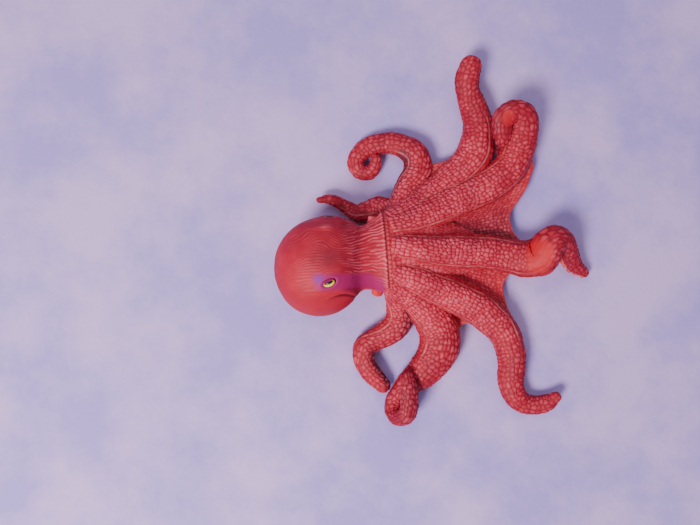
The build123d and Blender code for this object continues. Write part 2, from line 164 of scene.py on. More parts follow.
# Gaps round the crown.  Each is its two arms, the web's free edge between them seen from above,
# and how much higher the sheet stands at its first arm than at its second.
WEBS = {
    "web_left_3_4": ("left_arm_4", "left_arm_3", [(-25.5, 19.0), (-18.5, 22.0), (-12.0, 31.0)], 0.0),
    "web_left_2_3": ("left_arm_3", "left_arm_2", [(-7.0, 38.0), (1.0, 38.0), (14.0, 44.0)], 0.0),
    "web_left_1_2": (
        "left_arm_2", "left_arm_1",
        [(22.0, 51.0), (27.0, 47.6), (32.0, 46.8), (37.5, 49.0)], 1.2,
    ),
    "web_front_left": (
        "left_arm_1", "right_arm_1",
        [(46.0, 46.0), (48.0, 38.0), (46.0, 30.0), (41.0, 21.0), (36.6, 13.5), (37.5, 7.0), (42.0, -1.0)],
        1.6,
    ),
    "web_front_right": (
        "right_arm_1", "right_arm_2",
        [(42.0, -11.0), (36.5, -15.0), (33.2, -20.5), (34.5, -29.0), (38.5, -40.0), (40.0, -47.0)], 1.6,
    ),
    "web_right_2_3": (
        "right_arm_2", "right_arm_3", [(27.0, -44.0), (20.0, -39.0), (14.6, -39.3), (8.5, -48.0)], -0.8,
    ),
    "web_right_3_4": ("right_arm_3", "right_arm_4", [(-6.0, -44.0), (-8.5, -34.5), (-16.0, -38.0)], 0.0),
}
WEB_THICKNESS = 1.6
WEB_EDGE_HEIGHT = 6.0

# Crown hub: x, y, z of a section's middle, its half width, and its height above and depth below.
HUB_ROWS = [
    (-24.5, -5.5, 20.0, 20.0, 14.0, 14.0), (-22.3, -5.5, 19.8, 19.5, 13.2, 14.0),
    (-19.5, -5.4, 19.3, 18.9, 11.8, 13.8),
    (-12.0, -5.0, 18.0, 18.8, 10.2, 13.4), (-2.0, -5.0, 15.5, 17.0, 8.0, 11.6),
    (10.0, -4.0, 12.0, 12.5, 4.8, 7.6), (20.0, -4.0, 9.6, 7.0, 2.2, 3.9), (24.0, -4.0, 9.0, 2.5, 1.0, 1.6),
]
HEAD_ROWS = [
    (-76.3, -12.0, 25.0, 1.5, 1.4), (-75.6, -12.0, 25.0, 6.0, 5.6), (-74.0, -12.1, 25.0, 10.5, 9.9),
    (-71.0, -12.3, 25.0, 15.3, 14.4), (-64.5, -12.2, 25.0, 20.5, 19.2), (-55.0, -11.8, 25.0, 23.0, 21.2),
    (-46.0, -10.8, 25.0, 21.8, 19.4), (-40.5, -9.8, 24.5, 18.6, 16.2), (-36.0, -7.8, 23.0, 15.3, 13.2),
    (-31.0, -6.3, 21.4, 16.2, 12.8), (-24.5, -5.5, 20.0, 20.0, 14.0),
]

# Each eye: middle, the way it looks, and the turn of its slit from the body's length.
EYES = {
    "right_eye": ((-50.3, -18.7, 44.9), (0.0, -0.28, 0.96), math.radians(24)),
    "left_eye": ((-50.5, 10.7, 29.6), (0.0, 0.96, 0.27), math.radians(190)),
}
EYE_LENGTH = 3.0  # half length, half width and half depth of an eye's bead
EYE_WIDTH = 1.9
EYE_DEPTH = 1.5

SIPHON_ROOT = (-27.6, -20.8, 15.2)
SIPHON_ALONG = (-0.15, -0.82, -0.55)
MOUTH_CENTRE = (-3.0, -5.0)


# ---------------------------------------------------------------------------
# Curves, noise and cells
# ---------------------------------------------------------------------------
def unit(vectors):
    """The vectors at length 1."""
    return vectors / np.maximum(np.linalg.norm(vectors, axis=-1, keepdims=True), 1e-9)


def smoothstep(low, high, values):
    """0 below low, 1 above high, and a smooth rise between."""
    share = np.clip((values - low) / (high - low), 0.0, 1.0)
    return share * share * (3.0 - 2.0 * share)


def bump(values, middle, width):
    """A bell of height 1."""
    return np.exp(-(((values - middle) / width) ** 2))


def smooth_rows(rows, at, where):
    """Rows read off a smooth curve through the given ones, which lie at the places `at`."""
    rows = np.asarray(rows, float)
    slopes = np.gradient(rows, at, axis=0)
    index = np.clip(np.searchsorted(at, where, side="right") - 1, 0, len(rows) - 2)
    span = (at[index + 1] - at[index])[:, None]
    share = (where - at[index])[:, None] / span
    square, cube = share**2, share**3
    return (
        (2 * cube - 3 * square + 1) * rows[index]
        + (cube - 2 * square + share) * span * slopes[index]
        + (3 * square - 2 * cube) * rows[index + 1]
        + (cube - square) * span * slopes[index + 1]
    )


def chord_places(rows):
    """How far along its polyline each row lies."""
    steps = np.linalg.norm(np.diff(np.asarray(rows, float), axis=0), axis=1)
    return np.concatenate([[0.0], np.cumsum(steps)])


def lattice_noise(points, seed):
    """Smooth noise from -1 to 1 at 3-D points."""
    table = np.random.default_rng(seed).random((32, 32, 32)) * 2 - 1
    base = np.floor(points).astype(int)
    share = points - base
    share = share * share * (3 - 2 * share)
    total = np.zeros(points.shape[:-1])
    for corner in np.ndindex(2, 2, 2):
        offset = np.array(corner)
        cell = (base + offset) % 32
        weight = np.prod(np.where(offset == 1, share, 1 - share), axis=-1)
        total += weight * table[cell[..., 0], cell[..., 1], cell[..., 2]]
    return total


def knobs(along, around, seed, jitter=0.7):
    """Rounded knobs, from 0 in the grooves to 1 on top, over coordinates counted in knobs."""
    table = np.random.default_rng(seed).random((256, 256, 3))
    row, column = np.floor(along).astype(int), np.floor(around).astype(int)
    nearest = np.full(along.shape, 9.0)
    second = np.full(along.shape, 9.0)
    number = np.zeros(along.shape)
    for row_step in (-1, 0, 1):
        for column_step in (-1, 0, 1):
            cell_row, cell_column = row + row_step, column + column_step
            cell = table[cell_row % 256, cell_column % 256]
            off_along = cell_row + 0.5 + jitter * (cell[..., 0] - 0.5) - along
            off_around = cell_column + 0.5 + jitter * (cell[..., 1] - 0.5) - around
            distance = np.hypot(off_along, off_around)
            closer = distance < nearest
            second = np.where(closer, nearest, np.minimum(second, distance))
            number = np.where(closer, cell[..., 2], number)
            nearest = np.where(closer, distance, nearest)
    edge = np.clip((second - nearest) / 0.55, 0.0, 1.0)
    dome = np.sqrt(1 - (1 - edge) ** 2) * (1 - 0.45 * np.clip(nearest, 0, 1) ** 2)
    return dome * (0.62 + 0.38 * number)


def grid_normals(grid, closed):
    """Unit normals of a grid of points, whose second direction may close on itself."""
    along = np.gradient(grid, axis=0)
    if closed:
        across = np.roll(grid, -1, axis=1) - np.roll(grid, 1, axis=1)
    else:
        across = np.gradient(grid, axis=1)
    return unit(np.cross(across, along))


def outward_normals(grid, middle):
    """Normals of a closed tube's grid that point away from its middle line."""
    normals = grid_normals(grid, True)
    if np.mean(np.sum(normals * (grid - middle), axis=-1)) < 0:
        return -normals
    return normals


def frame_of(direction, near):
    """Three unit axes: the direction last, and the first as near as can be to `near`."""
    last = unit(np.array(direction, float))
    first = unit(np.array(near, float) - last * np.dot(near, last))
    return np.array([first, np.cross(last, first), last])


# ---------------------------------------------------------------------------
# Meshes
# ---------------------------------------------------------------------------
def make_object(name, points, faces, layers, material):
    """A smooth-shaded object from points in millimetres, with its paint layers as attributes."""
    mesh = bpy.data.meshes.new(name)
    mesh.from_pydata((points * MM).tolist(), [], faces)
    mesh.validate()
    mesh.shade_smooth()
    for layer, values in layers.items():
        attribute = mesh.attributes.new(layer, "FLOAT", "POINT")
        attribute.data.foreach_set("value", np.asarray(values, np.float32).reshape(-1))
    mesh.materials.append(material)
    piece = bpy.data.objects.new(name, mesh)
    bpy.context.scene.collection.objects.link(piece)
    return piece


def sheet_faces(rows, columns, first=0, closed=False):
    """Quads of a grid of points, which may close on itself across."""
    faces = []
    for row in range(rows - 1):
        base = first + row * columns
        for column in range(columns if closed else columns - 1):
            after = (column + 1) % columns
            faces.append((base + column, base + after, base + columns + after, base + columns + column))
    return faces


def tube_object(name, grid, layers, material):
    """A closed tube through rings of points, given as rings x around x 3, with a pole at each end."""
    rings, around = grid.shape[:2]
    points = np.concatenate([grid.reshape(-1, 3), [grid[0].mean(axis=0)], [grid[-1].mean(axis=0)]])
    faces = sheet_faces(rings, around, closed=True)
    pole, base = rings * around, (rings - 1) * around
    for step in range(around):
        after = (step + 1) % around
        faces.append((pole, after, step))
        faces.append((pole + 1, base + step, base + after))
    full = {}
    for layer, values in layers.items():
        full[layer] = np.concatenate([values.reshape(-1), [values[0].mean(), values[-1].mean()]])
    return make_object(name, points, faces, full, material)


# ---------------------------------------------------------------------------
# Materials
# ---------------------------------------------------------------------------
class Nodes:
    """Short calls for building a material's nodes."""

    def __init__(self, name):
        self.material = bpy.data.materials.new(name)
        self.material.use_nodes = True
        self.tree = self.material.node_tree
        self.shader = self.tree.nodes["Principled BSDF"]

    def connect(self, node, key, value):
        if isinstance(value, bpy.types.NodeSocket):
            self.tree.links.new(value, node.inputs[key])
        else:
            node.inputs[key].default_value = value

    def node(self, kind, inputs, **settings):
        made = self.tree.nodes.new(kind)
        for key, value in settings.items():
            setattr(made, key, value)
        for key, value in inputs.items():
            self.connect(made, key, value)
        return made

    def layer(self, name):
        return self.node("ShaderNodeAttribute", {}, attribute_name=name).outputs["Fac"]

    def noise(self, scale, detail=3.0, roughness=0.55):
        place = self.node("ShaderNodeTexCoord", {}).outputs["Object"]
        inputs = {"Vector": place, "Scale": scale, "Detail": detail, "Roughness": roughness}
        return self.node("ShaderNodeTexNoise", inputs).outputs["Fac"]

    def times(self, first, second):
        return self.node("ShaderNodeMath", {0: first, 1: second}, operation="MULTIPLY").outputs[0]

    def span(self, value, low, high, to_low=0.0, to_high=1.0):
        inputs = {"Value": value, "From Min": low, "From Max": high, "To Min": to_low, "To Max": to_high}
        return self.node("ShaderNodeMapRange", inputs).outputs["Result"]

    def mix(self, amount, first, second):
        inputs = {0: amount, 6: first, 7: second}
        return self.node("ShaderNodeMix", inputs, data_type="RGBA").outputs[2]

    def feed(self, socket, value):
        self.connect(self.shader, socket, value)

    def bumped(self, height, distance, strength=1.0):
        inputs = {"Height": height, "Distance": distance, "Strength": strength}
        self.feed("Normal", self.node("ShaderNodeBump", inputs).outputs["Normal"])


def colour(red, green, blue):
    """A linear colour from screen values of 0 to 255."""
    values = []
    for value in (red, green, blue):
        share = value / 255
        values.append(share / 12.92 if share <= 0.04045 else ((share + 0.055) / 1.055) ** 2.4)
    return (*values, 1.0)


def soft_plastic(material):
    """The glow and sheen of soft plastic on a material being made."""
    material.feed("Specular IOR Level", 0.3)
    material.feed("Subsurface Weight", 0.1)
    material.feed("Subsurface Radius", (0.003, 0.001, 0.0007))
    material.feed("Subsurface Scale", 0.4)


def skin_material():
    """Red soft plastic with dry-brushed pale paint on whatever stands up, and painted shade in grooves,
    creases and on shaded sides.
    """
    skin = Nodes("painted_skin")
    blotch = skin.noise(90.0)
    speck = skin.noise(1600.0, 2.0)
    body = skin.mix(skin.span(blotch, 0.35, 0.65), colour(156, 12, 38), colour(176, 20, 44))
    body = skin.mix(skin.layer("orange"), body, colour(196, 26, 34))
    # Painted shade: the grooves between knobs darken to a deep red.
    groove = skin.span(skin.layer("high"), 0.0, 0.45, 0.85, 0.0)
    body = skin.mix(groove, body, colour(98, 4, 22))
    # Painted shade on arm sides, web valleys, creases and seam grooves, with a darker tone towards the arm
    # tips and on a patch of the head.
    body = skin.mix(skin.layer("dark"), body, colour(84, 18, 36))
    tops = skin.times(skin.span(skin.layer("high"), 0.5, 0.95), skin.span(speck, 0.25, 0.6, 0.5, 1.0))
    brushed = skin.times(tops, skin.span(blotch, 0.3, 0.7, 0.4, 0.85))
    body = skin.mix(brushed, body, colour(224, 92, 112))
    ridge = skin.times(skin.layer("ridge"), skin.span(speck, 0.2, 0.6, 0.5, 0.85))
    body = skin.mix(ridge, body, colour(236, 116, 122))
    body = skin.mix(skin.layer("purple"), body, colour(152, 18, 88))
    body = skin.mix(skin.layer("violet"), body, colour(98, 42, 142))
    skin.feed("Base Color", body)
    skin.feed("Roughness", skin.span(blotch, 0.3, 0.7, 0.5, 0.65))
    soft_plastic(skin)
    skin.bumped(skin.noise(1400.0, 4.0, 0.6), 0.00012, 0.6)
    return skin.material


def sucker_material():
    """The suckers' paler plastic, with painted shade that is darkest in the cup."""
    cup = Nodes("painted_suckers")
    blotch = cup.noise(300.0)
    body = cup.mix(cup.span(blotch, 0.35, 0.65), colour(206, 70, 74), colour(224, 104, 100))
    # Painted shade in the cup and where the sucker meets the arm.
    body = cup.mix(cup.span(cup.layer("high"), 0.0, 0.6, 1.0, 0.0), body, colour(130, 16, 34))
    cup.feed("Base Color", body)
    cup.feed("Roughness", cup.span(blotch, 0.3, 0.7, 0.4, 0.55))
    soft_plastic(cup)
    cup.bumped(cup.noise(1400.0, 3.0, 0.6), 0.0001, 0.5)
    return cup.material


def sole_material():
    """The plain moulded face round the mouth that the figure stands on."""
    sole = Nodes("moulded_sole")
    blotch = sole.noise(140.0)
    body = sole.mix(sole.span(blotch, 0.35, 0.65), colour(196, 52, 58), colour(214, 76, 76))
    # Painted shade up the wall under the crown and in the hollow in the middle.
    body = sole.mix(sole.span(sole.layer("high"), 0.0, 0.5, 0.8, 0.0), body, colour(120, 14, 30))
    sole.feed("Base Color", body)
    sole.feed("Roughness", sole.span(blotch, 0.3, 0.7, 0.5, 0.65))
    soft_plastic(sole)
    sole.bumped(sole.noise(900.0, 4.0, 0.6), 0.00015, 0.6)
    return sole.material


def eye_material():
    """Painted eye: dark rim, yellow iris with scallops, black slit."""
    eye = Nodes("painted_eye")
    speck = eye.noise(2500.0, 2.0)
    body = eye.mix(eye.span(speck, 0.35, 0.65), colour(236, 178, 40), colour(250, 214, 86))
    body = eye.mix(eye.layer("pupil"), body, colour(10, 8, 10))
    body = eye.mix(eye.layer("lid"), body, colour(128, 16, 70))
    eye.feed("Base Color", body)
    eye.feed("Specular IOR Level", 0.2)
    eye.feed("Roughness", eye.span(speck, 0.3, 0.7, 0.25, 0.35))
    eye.bumped(speck, 0.00004, 0.4)
    return eye.material


def siphon_material():
    """Brighter orange red, with painted shade inside the bore."""
    siphon = Nodes("painted_siphon")
    blotch = siphon.noise(400.0)
    body = siphon.mix(siphon.span(blotch, 0.35, 0.65), colour(196, 32, 40), colour(214, 48, 46))
    # Painted shade inside the bore.
    body = siphon.mix(siphon.span(siphon.layer("high"), 0.0, 0.5, 1.0, 0.0), body, colour(96, 8, 22))
    siphon.feed("Base Color", body)
    siphon.feed("Roughness", siphon.span(blotch, 0.3, 0.7, 0.35, 0.5))
    soft_plastic(siphon)
    siphon.bumped(siphon.noise(1400.0, 3.0, 0.6), 0.0001, 0.6)
    return siphon.material


def plug_material():
    """The unpainted plug inside the neck."""
    plug = Nodes("bare_plug")
    blotch = plug.noise(250.0)
    plug.feed("Base Color", plug.mix(plug.span(blotch, 0.3, 0.7), colour(150, 40, 44), colour(176, 58, 58)))
    plug.feed("Roughness", plug.span(blotch, 0.3, 0.7, 0.5, 0.7))
    plug.bumped(blotch, 0.0002, 0.5)
    return plug.material


SKIN = skin_material()
SUCKER_SKIN = sucker_material()
SKIN_LAYERS = ("high", "ridge", "orange", "dark", "purple", "violet")


def skin_layers(shape, **given):
    """Every paint layer at this shape, zero where none is given."""
    return {layer: np.broadcast_to(given.get(layer, 0.0), shape).astype(float) for layer in SKIN_LAYERS}


# ---------------------------------------------------------------------------
# Arms
# ---------------------------------------------------------------------------
def carried_frames(line, roll):
    """Tangent, side and back directions along a line, carried so that they don't twist, then rolled."""
    tangents = unit(np.gradient(line, axis=0))
    side = np.cross(tangents[0], (0.0, 0.0, 1.0))
    sides = np.empty_like(line)
    for index, tangent in enumerate(tangents):
        side = side - tangent * side.dot(tangent)
        side /= np.linalg.norm(side)
        sides[index] = side
    backs = np.cross(sides, tangents)
    turn = np.radians(roll)[:, None]
    return tangents, sides * np.cos(turn) + backs * np.sin(turn), backs * np.cos(turn) - sides * np.sin(turn)


def joint_place(name):
    """An arm's joint, in millimetres."""
    joint = next(joint for joint in frame["joints"] if joint["child"] == name)
    return np.array(joint["pos_m"]) / MM


class Arm:
    """The rings of one arm: places, frames, half widths, and distances from the joint and the tip."""

    def __init__(self, name):
        rows = np.array(ARMS[name], float)
        at = chord_places(rows[:, :3])
        tip_radius = rows[-1, 3]
        ahead = unit(rows[-1, :3] - rows[-2, :3])
        end = np.concatenate([rows[-1, :3] + ahead * tip_radius, rows[-1, 3:]])
        where = np.arange(0.0, at[-1] + 0.985 * tip_radius, FINE)
        path = smooth_rows(np.vstack([rows, end]), np.append(at, at[-1] + tip_radius), where)
        past_last = np.maximum(where - at[-1], 0) / tip_radius
        self.name = name
        self.where = where
        self.line, self.half = path[:, :3], path[:, 3]
        self.dome = np.sqrt(np.clip(1 - past_last**2, 0.0, 1.0))
        self.tangents, self.sides, self.backs = carried_frames(self.line, path[:, 4])
        nearest = np.argmin(np.linalg.norm(self.line - joint_place(name), axis=1))
        self.past_joint = where - where[nearest]
        fold = KNOBBLY_FROM.get(name)
        self.knobbly_at = at[fold] if fold else where[-1] + 99.0

    def surface(self, turn):
        """Points of the plain surface at these turns from the back, for every ring."""
        radius = (self.half * self.dome)[:, None]
        up = np.where(np.cos(turn) > 0, np.cos(turn), np.cos(turn) * SOLE_FLATNESS)
        return (
            self.line[:, None]
            + self.sides[:, None] * (radius * np.sin(turn))[..., None]
            + self.backs[:, None] * (radius * ARM_FLATNESS * up)[..., None]
        )


def make_arm(name, seed):
    """The knobbly skin of one arm, from inside the crown to its tip."""
    arm = Arm(name)
    turn = np.linspace(-math.pi, math.pi, ARM_AROUND, endpoint=False)[None, :]
    grid = arm.surface(turn)
    normals = outward_normals(grid, arm.line[:, None])
    where, past = arm.where[:, None], arm.past_joint[:, None]
    out = smoothstep(-22.0, 24.0, arm.past_joint)
    width = PEBBLE_AT_ROOT + (PEBBLE_AT_TIP - PEBBLE_AT_ROOT) * out
    length = width * (1.6 - 0.5 * out)
    along = np.cumsum(FINE / length)[:, None]
    around = turn * arm.half[:, None] * 0.92 / width[:, None]
    wobble = lattice_noise(grid / 4.0, seed) * 0.3
    knob = knobs(along + wobble, around + wobble, seed)
    off_back = np.abs(turn)
    back_zone = 1 - smoothstep(math.radians(BACK_EDGE[0]), math.radians(BACK_EDGE[1]), off_back)
    back_zone = np.maximum(back_zone, smoothstep(0.0, 3.0, where - arm.knobbly_at))
    arc = (off_back - math.radians(RIDGE_TURN)) * arm.half[:, None]
    ridge_strength = 1 - smoothstep(0.35 * RIDGE_REACH, RIDGE_REACH, past)
    wander = lattice_noise(grid / 9.0, seed + 3) * 0.8 + lattice_noise(grid / 2.5, seed + 5) * 0.15
    uneven = 0.62 + 0.38 * lattice_noise(grid / 2.4, seed + 4)
    ridge = bump(arc + wander, 0.0, RIDGE_HALF_WIDTH) * ridge_strength * uneven
    beside_ridge = bump(arc + wander, 0.0, 2.2 * RIDGE_HALF_WIDTH) * ridge_strength
    flank = smoothstep(0.0, 1.5, arc + wander) * ridge_strength
    size = (arm.half / 8.0)[:, None] ** 0.5 * smoothstep(0.0, 0.35, arm.dome)[:, None]
    bare = np.zeros(grid.shape[:2])
    if name in BARE_PATCHES:
        middle, radii, lowest = BARE_PATCHES[name]
        off = np.hypot((grid[..., 0] - middle[0]) / radii[0], (grid[..., 1] - middle[1]) / radii[1])
        bare = (1 - smoothstep(0.75, 1.1, off)) * (grid[..., 2] > lowest)
    knob = knob * back_zone * (1 - 0.4 * flank) * (1 - 0.8 * beside_ridge) * (1 - 0.85 * bare)
    creases = np.sin(where * 2.6 + 1.5 * lattice_noise(grid / 3.0, seed + 2)) * (1 - back_zone)
    lift = PEBBLE_HEIGHT * size * knob + RIDGE_HEIGHT * size * ridge + 0.08 * creases
    lump = lattice_noise(grid / 7.0, seed + 1) * 0.4 * size
    grid = grid + normals * (lift + lump - 0.25)[..., None]
    grid[..., 2] = np.maximum(grid[..., 2], FLOOR_GAP)
    knob_paint = knob * (1.25 - 0.47 * out[:, None])
    high = np.clip(knob_paint + 0.5 * (1 - back_zone) + 0.3 * bare + 0.15 * flank, 0, 1)
    orange = np.clip(0.75 * bare + 0.35 * flank + 0.5 * (1 - back_zone), 0, 1)
    # Painted shade on the arms' sides; the arms also darken towards their tips.
    dark = 0.22 * smoothstep(math.radians(45), math.radians(90), off_back) * back_zone * (1 - bare)
    dark = dark + 0.16 * out[:, None] * (1 - bare)
    if name in PAINTED_SHADE_SIDES:
        faces_to, reach = PAINTED_SHADE_SIDES[name]
        # Painted shade on the side that faces this way, ending a little past the reach.
        inner = 0.9 * smoothstep(0.0, 0.55, normals @ np.array(faces_to))
        inner = inner * (1 - smoothstep(reach, reach + 8.0, past))
        dark = np.maximum(dark, inner)
    layers = skin_layers(high.shape, high=high, ridge=ridge, orange=orange, dark=dark)
    return tube_object(f"skin_{name}", grid, layers, SKIN)


def make_suckers(name):
    """Two rows of cups along the underside of an arm."""
    arm = Arm(name)
    profile = np.array(SUCKER_PROFILE)
    around = 14
    spin = np.linspace(0, 2 * math.pi, around, endpoint=False)
    points, faces, layers = [], [], []
    place = FIRST_SUCKER
    while place < min(arm.where[-1] - 2.0, arm.knobbly_at - 2.0):
        ring = int(place / FINE)
        radius = max(SUCKER_RATIO * arm.half[ring] * arm.dome[ring], SMALLEST_SUCKER)
        for side in (-1, 1):
            shift = ring + int(0.5 * radius / FINE) * side
            shift = min(max(shift, 0), len(arm.where) - 1)
            turn = np.array([[side * (math.pi - 2.3 * radius / (arm.half[shift] * SOLE_FLATNESS))]])
            spot = arm.surface(turn)[shift, 0]
            axes = frame_of(spot - arm.line[shift], arm.tangents[shift])
            flat = profile[:, None, 0] * np.stack([np.cos(spin), np.sin(spin)])[:, None] * radius
            cup = spot + flat[0][..., None] * axes[0] + flat[1][..., None] * axes[1]
            cup = cup + (profile[:, 1] * radius * 0.8)[:, None, None] * axes[2]
            first = sum(len(block) for block in points)
            points.append(cup.reshape(-1, 3))
            faces += sheet_faces(len(profile), around, first, closed=True)
            faces.append(tuple(first + (len(profile) - 1) * around + step for step in range(around)))
            layers.append(np.repeat(profile[:, 2], around))
        place += SUCKER_PITCH * radius
    points = np.concatenate(points)
    points[:, 2] = np.maximum(points[:, 2], FLOOR_GAP)
    return make_object(f"suckers_{name}", points, faces, {"high": np.concatenate(layers)}, SUCKER_SKIN)


def bend_with_joint(piece):
    """The piece's placement is baked into its mesh."""
    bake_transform(piece)


# ---------------------------------------------------------------------------
# Webs, hub and head
# ---------------------------------------------------------------------------
def make_web(name, seed):
    """The sheet between two arms, with a rounded free edge."""
    first, second, edge, lean = WEBS[name]
    edge = np.array(edge, float)
    step = FINE * 1.1
    places = chord_places(edge)
    across = max(int(places[-1] / step), 16)
    rim_line = smooth_rows(edge, places, np.linspace(0, places[-1], across))
    share = np.linspace(0, 1, across)[:, None]
    inner = np.array(ARMS[first][0][:3]) * (1 - share) + np.array(ARMS[second][0][:3]) * share
    reach = int(np.linalg.norm(rim_line - inner[:, :2], axis=1).mean() / step)
    out = np.linspace(0, 1, reach)[:, None]
    plan = inner[None, :, :2] * (1 - out[..., None]) + rim_line[None] * out[..., None]
    slope = lean * (1 - share[:, 0]) ** 2 if lean > 0 else -lean * share[:, 0] ** 2
    height = WEB_EDGE_HEIGHT + (inner[:, 2] - 6.0 - WEB_EDGE_HEIGHT) * (1 - out) ** 1.5
    height = height + slope * np.sin(math.pi * np.clip(out, 0, 1)) ** 0.7
    half = WEB_THICKNESS / 2
    top = np.dstack([plan, height + half])
    low = np.dstack([plan, height - half])
    outward = unit(rim_line - inner[:, :2])
    rim = []
    for tilt in np.radians([65, 35, 0, -35, -65]):
        beyond = rim_line + outward * half * math.cos(tilt)
        rim.append(np.column_stack([beyond, height[-1] + half * math.sin(tilt)]))
    sheet = np.concatenate([top, np.array(rim), low[::-1]])
    normals = grid_normals(sheet, False)
    if normals[reach // 2, across // 2, 2] < 0:
        normals = -normals
    row = np.arange(len(sheet))[:, None]
    ones = np.ones((1, across))
    on_top = (row < reach) * ones
    knobs_out = np.minimum(row, reach) * step / 2.3 * ones
    knobs_across = (share[:, 0] * places[-1] / 1.9)[None] + 0 * row
    knob = knobs(knobs_out, knobs_across, seed)
    near_rim = bump((row - (reach + 2)) * step, 0.0, 1.1) * ones
    fold = np.sin((share[:, 0] * 9)[None] * math.pi + lattice_noise(sheet / 9.0, seed + 1))
    lift = (0.6 * knob + 0.15 * fold) * on_top * (1 - near_rim) + 0.3 * near_rim
    lift = lift + lattice_noise(sheet / 6.0, seed + 2) * 0.5
    sheet = sheet + normals * lift[..., None]
    to_second = (share[:, 0] if lean >= 0 else 1 - share[:, 0])[None] * ones
    # Painted shade in the valley on the sheet, deepest next to one of its arms.
    valley_shade = (0.15 + 0.6 * smoothstep(0.4, 0.9, to_second)) * on_top * (1 - near_rim)
    high = np.where(on_top > 0, 0.1 + 0.8 * knob, 0.5)
    rim_paint = near_rim * (0.4 + 0.2 * lattice_noise(sheet / 3.0, seed + 3))
    orange = 0.25 + 0.4 * bump((row - (reach + 2)) * step, 0.0, 5.0) * ones
    layers = skin_layers(high.shape, high=high, ridge=rim_paint, orange=orange, dark=valley_shade)
    return make_object(name, sheet.reshape(-1, 3), sheet_faces(*sheet.shape[:2]), layers, SKIN)


def section_rings(rows, step, around):
    """Rings through hub or head rows, turned into the seam's plane as they near it."""
    rows = np.array(rows, float)
    at = chord_places(rows[:, [0, 3, 4]])
    path = smooth_rows(rows, at, np.linspace(0, at[-1], int(at[-1] / step)))
    turn = np.linspace(0, 2 * math.pi, around, endpoint=False)[None, :]
    off_y = path[:, 3:4] * np.sin(turn)
    height = np.where(np.cos(turn) > 0, path[:, 4:5], path[:, -1:]) * np.cos(turn)
    lean = bump(path[:, 0:1], SEAM_CENTRE[0], 6.0) * math.tan(SEAM_TURN)
    return np.dstack([path[:, 0:1] - lean * off_y, path[:, 1:2] + off_y, path[:, 2:3] + height]), path, turn


def past_seam(grid):
    """Distance in front of the seam's plane."""
    return grid[..., 0] - SEAM_CENTRE[0] + (grid[..., 1] - SEAM_CENTRE[1]) * math.tan(SEAM_TURN)


def make_hub():
    """The middle of the crown, which the arms grow out of."""
    grid, path, turn = section_rings(HUB_ROWS, FINE, 240)
    normals = outward_normals(grid, path[:, None, :3])
    from_seam = past_seam(grid)
    lip = bump(from_seam, 0.95, 0.55)
    groove = bump(from_seam, 0.0, 0.4)
    knob = knobs(grid[..., 0] / 2.3 + 0 * turn, turn * 17.0 / 1.4 + 0 * grid[..., 0], 5)
    strands = 0.5 + 0.5 * np.sin(turn * 60 + lattice_noise(grid / 8.0, 6) * 2)
    near = 1 - smoothstep(1.2, 2.6, from_seam)
    lift = 0.3 * lip - 0.4 * groove + 0.55 * knob * (1 - near) + 0.2 * strands
    grid = grid + normals * lift[..., None]
    grid[..., 2] = np.maximum(grid[..., 2], FLOOR_GAP)
    # The seam groove takes `high` down and gets a share of the shade layer: painted shade in the groove.
    high = 0.15 + 0.95 * knob * (1 - near) + 0.4 * near * strands - 0.4 * groove
    lip_paint = lip * (0.1 + 0.4 * strands)
    layers = skin_layers(high.shape, high=np.clip(high, 0, 1), ridge=lip_paint, orange=0.3, dark=groove * 0.2)
    return tube_object("crown_hub", grid, layers, SKIN)


def eye_offsets(grid, name):
    """How far points lie from an eye's middle along its slit and across it, in eye sizes."""
    place, looks, slit_turn = EYES[name]
    axes = frame_of(looks, (math.cos(slit_turn), math.sin(slit_turn), 0.0))
    off = grid - np.array(place)
    return off @ axes[0] / EYE_LENGTH, off @ axes[1] / EYE_WIDTH, off @ axes[2]


